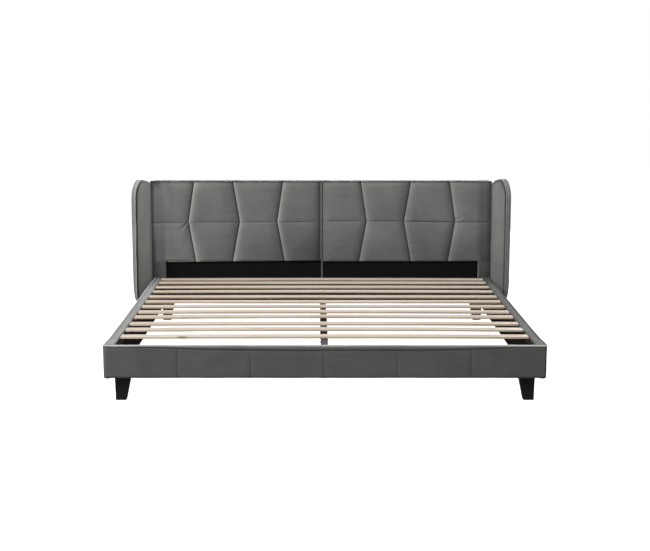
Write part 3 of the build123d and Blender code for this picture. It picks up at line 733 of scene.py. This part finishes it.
# Stiles beside the windows
for side, sign in signs.items():
    heights = stile_low.z + (stile_high.z - hair - stile_low.z) * clustered(40, 0.5)
    outline = []
    for k in range(9):
        angle = pi / 2 * k / 8
        x, y = stile_low.x + stile_round * (1 - cos(angle)), y_face + stile_round * (1 - sin(angle))
        outline.append((x, y, 1.0))
    for k in range(1, 15):
        x = stile_low.x + stile_round + (headboard_half - stile_low.x - stile_round) * k / 14
        outline.append((x, y_face, 1.0))
    outline += [(headboard_half, y_frame - 2 * hair, 0.0), (stile_low.x, y_frame - 2 * hair, 0.0)]
    outline = np.array(outline)
    points = []
    for z in heights:
        for x, y, _ in outline:
            limit = headboard_half + end_shift[side] - (y - y_face) * tan(cad_splay) - wing_clear
            points.append((min(x + max(0, end_shift[side]) * (x > stile_high.x - 0.02), limit), y, z))
    points = np.array(points)
    soft = np.tile(outline[:, 2], len(heights))
    outer = headboard_half + end_shift[side] - points[:, 0]
    points[:, 1] += soft * (0.0016 + 0.0012 * rough(points, 24, 5 + sign, (1, 1, 0.7)))
    points[:, 1] += soft * edge_sink * (1 - crown_share) * dip(outer, end_reach[side])
    points[:, 1] = np.minimum(points[:, 1], y_frame - 2 * hair)
    # Painted shade, deeper below the stile's top and at its outer end
    tone = stile_tone[side] - 0.12 * ramp((stile_high.z - points[:, 2]) / 0.10)
    tone *= 1 - 0.32 * (1 - ramp(outer / (end_reach[side] * 1.1)))
    points[:, 0] *= sign
    faces = rings(len(heights), len(outline), sign < 0)
    stile = make(f"stile_cover_{side}", points, faces, velvet_head, f"headboard_stile_{side}", tone=tone)


# Wings
def arc(centre, radius, start, end, count):
    angles = [start + (end - start) * k / count for k in range(count + 1)]
    return [(centre[0] + radius * cos(angle), centre[1] + radius * sin(angle)) for angle in angles]


def resampled(path, count):
    """A line through path with count even steps."""
    path = np.array(path, float)
    steps = np.hypot(*np.diff(path, axis=0).T)
    length = np.concatenate(([0], np.cumsum(steps)))
    even = np.linspace(0, length[-1], count + 1)
    return np.stack([np.interp(even, length, path[:, i]) for i in range(2)], axis=1)


def wing_sides(peak):
    """The wing's outline as four lines: bottom, front, top, rear."""
    tab_top = wing_top - wing_tab_drop + wing_corner_rise
    slope = wing_shoulder_drop / (wing_depth - wing_shoulder)
    lean = np.arctan(slope)
    top_round_centre = (wing_depth - wing_top_round, peak - wing_top_round - slope * wing_top_round * 0.6)
    bottom_centre = (wing_depth - wing_bottom_round, wing_bottom - wing_foot_drop + wing_bottom_round)
    shoulder = (wing_shoulder, peak - wing_shoulder_drop)
    bottom_arc = arc(bottom_centre, wing_bottom_round, -pi / 2, 0, 12)
    front_arc = arc(top_round_centre, wing_top_round, 0, pi / 2 + lean, 24)
    rise = np.arctan2(shoulder[1] - tab_top, shoulder[0])
    half_turn = (rise - lean) / 2
    reach = wing_shoulder_round * tan(half_turn)
    start = (shoulder[0] + reach * cos(lean), shoulder[1] + reach * sin(lean))
    centre = (start[0] + wing_shoulder_round * sin(lean), start[1] - wing_shoulder_round * cos(lean))
    shoulder_arc = arc(centre, wing_shoulder_round, pi / 2 + lean, pi / 2 + rise, 12)
    bottom = [(-wing_tab, wing_bottom), *bottom_arc[:7]]
    front = [*bottom_arc[6:], *front_arc[:13]]
    top = [*front_arc[12:], *shoulder_arc, (0.004, tab_top + 0.002), (-0.004, tab_top), (-wing_tab, tab_top)]
    rear = [(-wing_tab, wing_bottom), (-wing_tab, tab_top)]
    return bottom, front, top[::-1], rear


def wing_grid(peak):
    """Places (u, z) over the wing's face, from its four sides, finer towards its edges."""
    bottom, front, top, rear = wing_sides(peak)
    bottom, front, top, rear = (resampled(line, wing_steps) for line in (bottom, front, top, rear))
    along, across = clustered(wing_along, 0.45), clustered(wing_across, 0.55)
    grid = np.zeros((wing_along + 1, wing_across + 1, 2))
    for j, t in enumerate(along):
        for i, s in enumerate(across):
            m, n = round(s * wing_steps), round(t * wing_steps)
            edges = (1 - t) * bottom[m] + t * top[m] + (1 - s) * rear[n] + s * front[n]
            corners = (1 - s) * (1 - t) * bottom[0] + s * (1 - t) * bottom[-1]
            corners = corners + (1 - s) * t * top[0] + s * t * top[-1]
            grid[j, i] = edges - corners
    return grid


def outline_distance(places, outline):
    """Distance of each place from a closed outline."""
    best = np.full(len(places), far)
    for start, end in zip(outline, np.roll(outline, -1, axis=0)):
        way = end - start
        if way @ way > 1e-12:
            best = np.minimum(best, line_distance(places[:, 0], places[:, 1], start, end))
    return best


def wing_piece(side):
    sign = signs[side]
    splay = wing_splay[side]
    forward = np.array((sin(splay), -cos(splay), 0))
    outward = np.array((cos(splay), sin(splay), 0))
    origin = np.array((headboard_half + end_shift[side] + wing_clear, y_face, 0))
    grid = wing_grid(wing_top - wing_drop[side])
    columns, rows = wing_across + 1, wing_along + 1
    border = (
        [(0, i) for i in range(columns)]
        + [(j, columns - 1) for j in range(1, rows)]
        + [(rows - 1, i) for i in range(columns - 2, -1, -1)]
        + [(j, 0) for j in range(rows - 2, 0, -1)]
    )
    outline = np.array([grid[j, i] for j, i in border])
    places = grid.reshape(-1, 2)
    distance = outline_distance(places, outline[::2])
    u, z = places[:, 0], places[:, 1]
    seed = wing_seed[side]
    flat = np.stack((u, np.zeros_like(u), z), axis=1)
    slack = 0.0012 * rough(flat, 11, seed)
    slack = slack + 0.0013 * rough(flat, 30, seed + 1, (1.4, 1, 0.8)) * np.exp(-distance / 0.03)
    crown = wing_crown * np.clip(1 - ((u - wing_depth / 2) / (wing_depth / 2)) ** 2, 0, 1) ** 0.7
    seams = np.minimum(np.abs(z - seam_heights[1]), np.abs(z - seam_heights[2]))
    seam_dip = 0.0022 * dip(seams, 0.012) * ramp((u + 0.004) / 0.02)
    edge_dip = wing_edge[side] * dip(distance, wing_roll)
    down = np.clip(1 - (z - wing_bottom) / (wing_top - wing_bottom), 0, 1)
    thickness = wing_thickness[side] - wing_taper * down**2
    thickness = thickness - wing_pinch[side] * (1 - ramp((z - wing_bottom) / 0.10))
    against = 1 - ramp((u - 0.002) / 0.02)  # pressed flat against the headboard
    waver = 0.0022 * rough(flat, 13, seed + 7, (0.2, 1, 1)) * (1 - ramp(distance / 0.03))
    groove = wing_groove * line_mark(distance - wing_groove_place, 0.0065)
    inner = -crown + (edge_dip + groove + waver) * (1 - against) + (slack + seam_dip) * (1 - against)
    inner = np.where(against > 0.5, np.maximum(inner, 0), inner)
    outer = thickness - wing_outer_edge * dip(distance, 0.022) + 0.0012 * ramp(distance / 0.08)
    outer = outer + slack * 0.8
    # Painted shade in the crease inside the rim, on the seams, against the headboard and towards the foot,
    # and in the crease on the outer face
    rim_shade = 0.88 * line_mark(distance - 0.008, 0.0080) + 0.15 * (1 - ramp(distance / 0.05))
    inner_tone = 1 - rim_shade * (1 - against)
    inner_tone *= wing_tone[side]
    inner_tone *= 1 - 0.18 * line_mark(seams, 0.003)
    inner_tone *= (1 - 0.50 * (1 - ramp((u - 0.004) / 0.05))) * (1 - 0.25 * (1 - ramp((z - 0.25) / 0.25)))
    outer_tone = 1 - 0.30 * line_mark(distance - 0.004, 0.004)

    def place(u, n, z):
        point = origin + np.outer(u, forward) + np.outer(n, outward)
        point[:, 2] = z
        point[:, 0] *= sign
        return point

    count = columns * rows
    points = [place(u, inner, z), place(u, outer, z)]
    tones = [inner_tone, outer_tone]
    faces = []
    for j in range(rows - 1):
        for i in range(columns - 1):
            a = j * columns + i
            quad = (a, a + 1, a + columns + 1, a + columns)
            faces.append(quad)
            faces.append(tuple(count + k for k in reversed(quad)))
    # Boxing strip between the two faces
    flags = [j * columns + i for j, i in border]
    ways = np.roll(outline, -1, axis=0) - np.roll(outline, 1, axis=0)
    normals = np.stack((ways[:, 1], -ways[:, 0]), axis=1)
    normals /= np.linalg.norm(normals, axis=1)[:, None]
    levels = [flags]
    for k in range(1, strip_rows):
        share = k / strip_rows
        n = inner[flags] * (1 - share) + outer[flags] * share
        bulge = 0.0034 * sin(pi * share) ** 0.7 * (outline[:, 0] > -wing_tab + 0.001)
        uneven = 0.0007 * rough(np.stack((outline[:, 0], n, outline[:, 1]), 1), 30, seed + 2)
        spots = outline + normals * (bulge + uneven)[:, None]
        points.append(place(spots[:, 0], n, spots[:, 1]))
        # Painted shade on the strip's rows beside the piping
        tones.append(np.full(len(border), strip_tone[side] * (1 - 0.25 * (k in (1, strip_rows - 1)))))
        levels.append(2 * count + (k - 1) * len(border) + np.arange(len(border)))
    levels.append([count + f for f in flags])
    for before, after in zip(levels, levels[1:]):
        for m in range(len(border)):
            q = (m + 1) % len(border)
            faces.append((int(before[q]), int(before[m]), int(after[m]), int(after[q])))
    if sign > 0:
        faces = [tuple(reversed(f)) for f in faces]
    points, tone = np.concatenate(points), np.concatenate(tones)
    replaced = (f"wing_pad_{side}", f"wing_board_{side}")
    wing = make(f"wing_cover_{side}", points, faces, velvet_wing, *replaced, tone=tone)
    # Piping along both edges of the strip, from the tab's foot round the front to the shoulder
    front = [m for m, (j, i) in enumerate(border) if grid[j, i][0] > 0.004]
    run = np.arange(front[0], front[-1] + 1)
    edge_points = np.array(flags)[run]
    normal = outward * np.array((sign, 1, 1))
    inner_edge = wing_edge[side] - 0.0010 + waver[edge_points]
    outer_edge = thickness[edge_points] - wing_outer_edge + 0.0012
    for edge, depth in (("inner", inner_edge), ("outer", outer_edge)):
        spots = outline[run] + normals[run] * 0.0016
        path = place(spots[:, 0], depth, spots[:, 1])
        tone = np.full(len(run), piping_tone[side] * (0.9 if edge == "outer" else 1))
        tube(f"wing_piping_{edge}_{side}", path, normal, wing_piping, velvet_welt, seed=seed + 5, tone=tone)


for side in signs:
    wing_piece(side)


# Rails
def skin_rows(width, height):
    """Rows of a thin cover over a rail: (across, up, inward normal across, inward normal up, face).
    It runs up the outer face, over the top, down the inner face, and back along the board."""
    rows = [(0.0, height * t, 1, 0, 0) for t in 1 - (1 - np.linspace(0, 1, 40)) ** 1.6]
    rows += [(width * t, height, 0, -1, 1) for t in clustered(14, 0.3)[1:]]
    rows += [(width, height * (1 - t), -1, 0, 2) for t in clustered(18, 0.3)[1:]]
    inside = [(width - skin, 0.0), (width - skin, height - skin), (skin, height - skin), (skin, 0.0)]
    return rows + [(a, b, 0, 0, 3) for a, b in inside]


def tuck(points, along, half, seed):
    """Each point's distance below the tuck under the rail's padded top edge, and the swell above it."""
    middle = 1 - ramp((np.abs(along - 0.05 * half) - 0.34 * half) / (0.60 * half))
    drop = tuck_drop[0] + (tuck_drop[1] - tuck_drop[0]) * middle
    line = np.stack(np.broadcast_arrays(along, 0.0, 0.0), axis=1)
    drop += 0.0026 * rough(line, 4.3, seed) + 0.0010 * rough(line, 14, seed + 1)
    below_top = rail_top - points[:, 2]
    return below_top - drop, roll_swell * np.sin(pi * np.clip(below_top / drop, 0, 1))


def footboard():
    width, height = y_rail - y_foot, rail_top - rail_bottom
    rows = np.array(skin_rows(width, height))
    panel = 2 * rail_outer / panel_count
    starts = -rail_outer + panel * np.arange(panel_count + 1)
    starts[1:-1] += panel_shift
    spots = [[-rail_outer - end_cap, -rail_outer - hair]]
    for k in range(panel_count):
        last = k == panel_count - 1
        spots.append(starts[k] + (starts[k + 1] - starts[k]) * clustered(44)[: None if last else -1])
    spots = np.concatenate((*spots, [rail_outer + hair, rail_outer + end_cap]))
    points = []
    for x in spots:
        for r in rows:
            across, up = r[0], r[1]
            if abs(x) > rail_outer + hair / 2 and up > 0 and r[4] == 3:
                across, up = (width * 0.66 if across > width / 2 else width * 0.33), 0.0
            points.append((x, y_foot + across, rail_bottom + up))
    points = np.array(points)
    face = np.tile(rows[:, 4], len(spots))
    seam = np.min(np.abs(points[:, :1] - starts[1:-1]), axis=1)
    end = np.maximum(rail_outer - np.abs(points[:, 0]), 0)
    below_tuck, swell = tuck(points, points[:, 0], rail_outer, foot_seed + 5)
    bottom = points[:, 2] - rail_bottom
    front = face == 0
    lower = ramp(below_tuck / 0.004)
    waver = 0.0007 * rough(points, 6, foot_seed)
    sink = front * lower * panel_sink * dip(np.abs(seam + waver), panel_reach)
    edge = 0.0045 * dip(rail_top - points[:, 2], 0.010)
    sink += front * (tuck_sink * line_mark(below_tuck, tuck_width) - swell + edge)
    uneven = 0.0011 * rough(points, 13, foot_seed + 1, (1, 1, 0.8))
    sink += front * lower * (0.0012 - 0.0016 * ramp(seam / 0.12) + uneven)
    sink += front * lower * 0.0009 * rough(points, 46, foot_seed + 2, (0.7, 1, 1.6)) * np.exp(-seam / 0.03)
    sink += front * 0.0034 * dip(bottom, 0.010)
    top = face == 1
    across = points[:, 1] - y_foot
    uneven = 0.0010 + 0.0012 * rough(points, 15, foot_seed + 3)
    sink += top * (uneven + 0.0026 * dip(width - across, 0.010))
    sink += (face == 2) * (0.0012 + 0.0006 * rough(points, 15, foot_seed + 4))
    # The corners swell past the rails, and are rounded from the front to the side
    sink += front * 0.0060 * dip(end, 0.012)
    out = end_swell * np.sign(points[:, 0]) * (1 - ramp(end / 0.10)) * (face < 3)
    out = out * (0.6 + 0.4 * ramp(bottom / 0.03))
    cap = (face == 3) & (np.abs(points[:, 0]) > rail_outer + hair / 2)
    out = np.where(cap, 0.6 * end_swell * np.sign(points[:, 0]), out)
    points[:, 1] += sink * np.tile(rows[:, 2], len(spots))
    points[:, 2] += sink * np.tile(rows[:, 3], len(spots))
    points[:, 2] -= front * 0.0035 * line_mark(end - 0.014, 0.012) * (1 - ramp(bottom / 0.02))
    points[:, 0] += out
    # Painted shade in the tuck, in the panel seams and along the foot; painted light on the top face, at the
    # left end and on the rolled top edge
    tone = 1 - front * 0.42 * line_mark(below_tuck, tuck_width * 0.8)
    fade = 0.45 + 0.55 * ramp((bottom + 0.02 * rough(points, 9, foot_seed + 7, (1, 0, 0)) - 0.02) / 0.05)
    tone *= 1 - front * lower * 0.50 * fade * line_mark(seam + waver, 0.0019)
    tone *= 1 + (face == 1) * 3.2
    tone *= 1 + front * (points[:, 0] < 0) * 0.45 * np.exp(-end / 0.008)
    tone *= 1 + front * 0.55 * (1 - lower) * (1 - ramp((rail_top - points[:, 2]) / 0.022))
    tone *= 1 - front * 0.25 * (1 - ramp(bottom / 0.010))
    faces = rings(len(spots), len(rows), True)
    cover = make("footboard_upholstery", points, faces, velvet_foot_shaded, "footboard_cover", tone=tone)


def flare(y):
    """How far the side rails' covers stand out where they are folded round the front corners."""
    return corner_flare * line_mark(y - y_rail, corner_reach)


def to_rear(y):
    """0 along a side rail, rising to 1 where the headboard and wing shade it."""
    return ramp((y - y_face + rear_start) / rear_run)


def side_rail(side):
    sign = signs[side]
    width, height = rail_outer - rail_inner, rail_top - rail_bottom
    rows = np.array(skin_rows(width, height))
    start, end = y_rail + hair, y_face - 2 * hair
    spots = start + (end - start) * clustered(180, 0.15)
    points = np.array([(rail_outer - r[0], y, rail_bottom + r[1]) for y in spots for r in rows])
    face = np.tile(rows[:, 4], len(spots))
    seed = rail_seed[side]
    below_top = rail_top - points[:, 2]
    below_tuck, swell = tuck(points, points[:, 1], end, seed + 4)
    outer = face == 0
    sink = outer * (tuck_sink * line_mark(below_tuck, tuck_width) - swell)
    hem = 0.0030 * dip(points[:, 2] - rail_bottom, 0.010)
    sink += outer * (0.0013 * rough(points, 9, seed, (1, 1, 0.8)) + hem)
    top = face == 1
    inside, outside = points[:, 0] - rail_inner, rail_outer - points[:, 0]
    welt_line = line_mark(outside - welt_set, welt_width)
    uneven = 0.0008 + 0.0014 * rough(points, 9, seed + 1)
    sink += top * (uneven + 0.0030 * dip(inside, 0.012) + 0.0020 * welt_line)
    uneven = 0.0010 + 0.0012 * rough(points, 12, seed + 2)
    sink += (face == 2) * (uneven + 0.0020 * dip(below_top, 0.008))
    points[:, 0] -= sink * np.tile(rows[:, 2], len(spots))
    points[:, 2] += sink * np.tile(rows[:, 3], len(spots))
    points[:, 0] += flare(points[:, 1]) * (face == 0)
    points[:, 0] += flare(points[:, 1]) * top * (1 - ramp(outside / width))
    # Painted shade in the tuck, in the groove beside the piping, on the inner face and towards the
    # headboard; painted light on the band inside the groove and towards the foot
    tone = 1 - outer * 0.42 * line_mark(below_tuck, tuck_width * 0.8) - top * 0.38 * welt_line
    tone *= 1 - (face == 2) * 0.25
    tone *= 1 + top * band_light[side] * line_mark(outside - band_set, band_width)
    tone *= 1 + top * front_light[side] * ramp((y_rail + 0.32 - points[:, 1]) / 0.28)
    tone *= 1 - top * rear_dark[side] * to_rear(points[:, 1])
    points[:, 0] *= sign
    name, faces = f"rail_upholstery_{side}", rings(len(spots), len(rows), sign < 0)
    cover = make(name, points, faces, velvet_rail[side], f"side_rail_cover_{side}", tone=tone)


footboard()
for side in signs:
    side_rail(side)

# Piping along the rails' outer top edges
foot_y = (foot_piping_low.y + foot_piping_high.y) / 2
piping_z = (foot_piping_low.z + foot_piping_high.z) / 2
side_x = (side_piping_low.x + side_piping_high.x) / 2
wander = np.linspace(foot_piping_low.x - end_swell, foot_piping_high.x + end_swell, piping_steps)
path = np.stack(np.broadcast_arrays(wander, foot_y, piping_z), axis=1)
path[:, 2] += 0.0012 * rough(path, 5, piping_seed) - 0.0006
path[:, 1] += 0.0008 * rough(path, 7, piping_seed + 1)
# Painted light on the footboard's piping
tone = np.full(piping_steps, 1.25)
up = (0, 0, 1)
seed = piping_seed + 2
tube("footboard_piping", path, up, piping_radius, velvet_welt, "footboard_welt", seed=seed, tone=tone)
for side, sign in signs.items():
    wander = np.linspace(side_piping_low.y, side_piping_high.y, piping_steps)
    path = np.stack(np.broadcast_arrays(side_x + flare(wander), wander, piping_z), axis=1)
    path[:, 2] += 0.0010 * rough(path, 5, piping_seed + 3 + sign)
    path[:, 0] += 0.0006 * rough(path, 7, piping_seed + 7 + sign)
    path[:, 0] *= sign
    # Painted light and shade on the rails' piping, darker towards the headboard; the right piping takes the
    # right rail's darker velvet
    tone = side_piping_tone[side] * (1 - 0.45 * to_rear(wander))
    material = pair(velvet_welt, velvet_rail["right"])[side]
    welt, seed = f"side_rail_welt_{side}", piping_seed + 8 + sign
    tube(f"rail_piping_{side}", path, up, piping_radius, material, welt, seed=seed, tone=tone)


# Floor, backdrop, light and camera
light_aim = Vector((0, 0, 0.4))


def area(name, place, size, power):
    lamp = bpy.data.lights.new(name, "AREA")
    lamp.shape = "RECTANGLE"
    lamp.size, lamp.size_y = size
    lamp.energy = power
    light = add_object(name, lamp)
    light.location = place
    light.rotation_mode = "QUATERNION"
    light.rotation_quaternion = (Vector(place) - light_aim).to_track_quat("Z", "Y")


def backdrop(name, points, faces, base, glow):
    """A pale stage piece that is seen but throws no light on the bed."""
    mesh = bpy.data.meshes.new(name)
    mesh.from_pydata(points, [], faces)
    stage = add_object(name, mesh)
    material, principled = shader(name, 0.95, Base_Color=(base, base, base, 1), Specular_IOR_Level=0.0)
    principled.inputs["Emission Color"].default_value = (1, 1, 1, 1)
    principled.inputs["Emission Strength"].default_value = glow
    mesh.materials.append(material)
    stage.visible_diffuse = False
    stage.visible_glossy = False
    return stage


half = 30.0
floor_points = [(-half, -half, 0), (half, -half, 0), (half, half, 0), (-half, half, 0)]
backdrop("floor", floor_points, [(0, 1, 2, 3)], 0.80, 0.82)
dome_radius = 29.0
dome_rings, dome_sides = 12, 32
dome_points = []
for j in range(dome_rings + 1):
    rise = pi / 2 * j / dome_rings - 0.01
    level, height = dome_radius * cos(rise), dome_radius * sin(rise)
    for k in range(dome_sides):
        turn = 2 * pi * k / dome_sides
        dome_points.append((level * cos(turn), level * sin(turn), height))
dome = backdrop("studio_dome", dome_points, rings(dome_rings + 1, dome_sides), 0.0, 1.0)
dome.visible_shadow = False

world = bpy.data.worlds.new("studio")
scene.world = world
world.use_nodes = True
background = world.node_tree.nodes["Background"].inputs
background["Color"].default_value = (1, 1, 1, 1)
background["Strength"].default_value = 0.22

area("key", (-3.5, -4.1, 3.9), (2.4, 2.4), 455)
area("top", (0.2, 0.6, 4.2), (3.2, 3.2), 150)
area("fill", (-0.6, -7.6, 2.0), (2.4, 1.6), 180)
area("side", (5.2, 0.6, 1.0), (2.4, 1.4), 100)
area("rear", (0.8, 5.6, 1.5), (2.8, 1.4), 150)

camera_data = bpy.data.cameras.new("camera")
camera_data.sensor_width = camera_sensor
camera_data.lens = camera_lens
camera_data.shift_x = camera_shift
camera_data.clip_end = 200
camera = add_object("camera", camera_data)
camera.location = camera_place
camera.rotation_euler = (pi / 2 - camera_pitch, 0, 0)
scene.camera = camera
scene.view_settings.view_transform = "Standard"
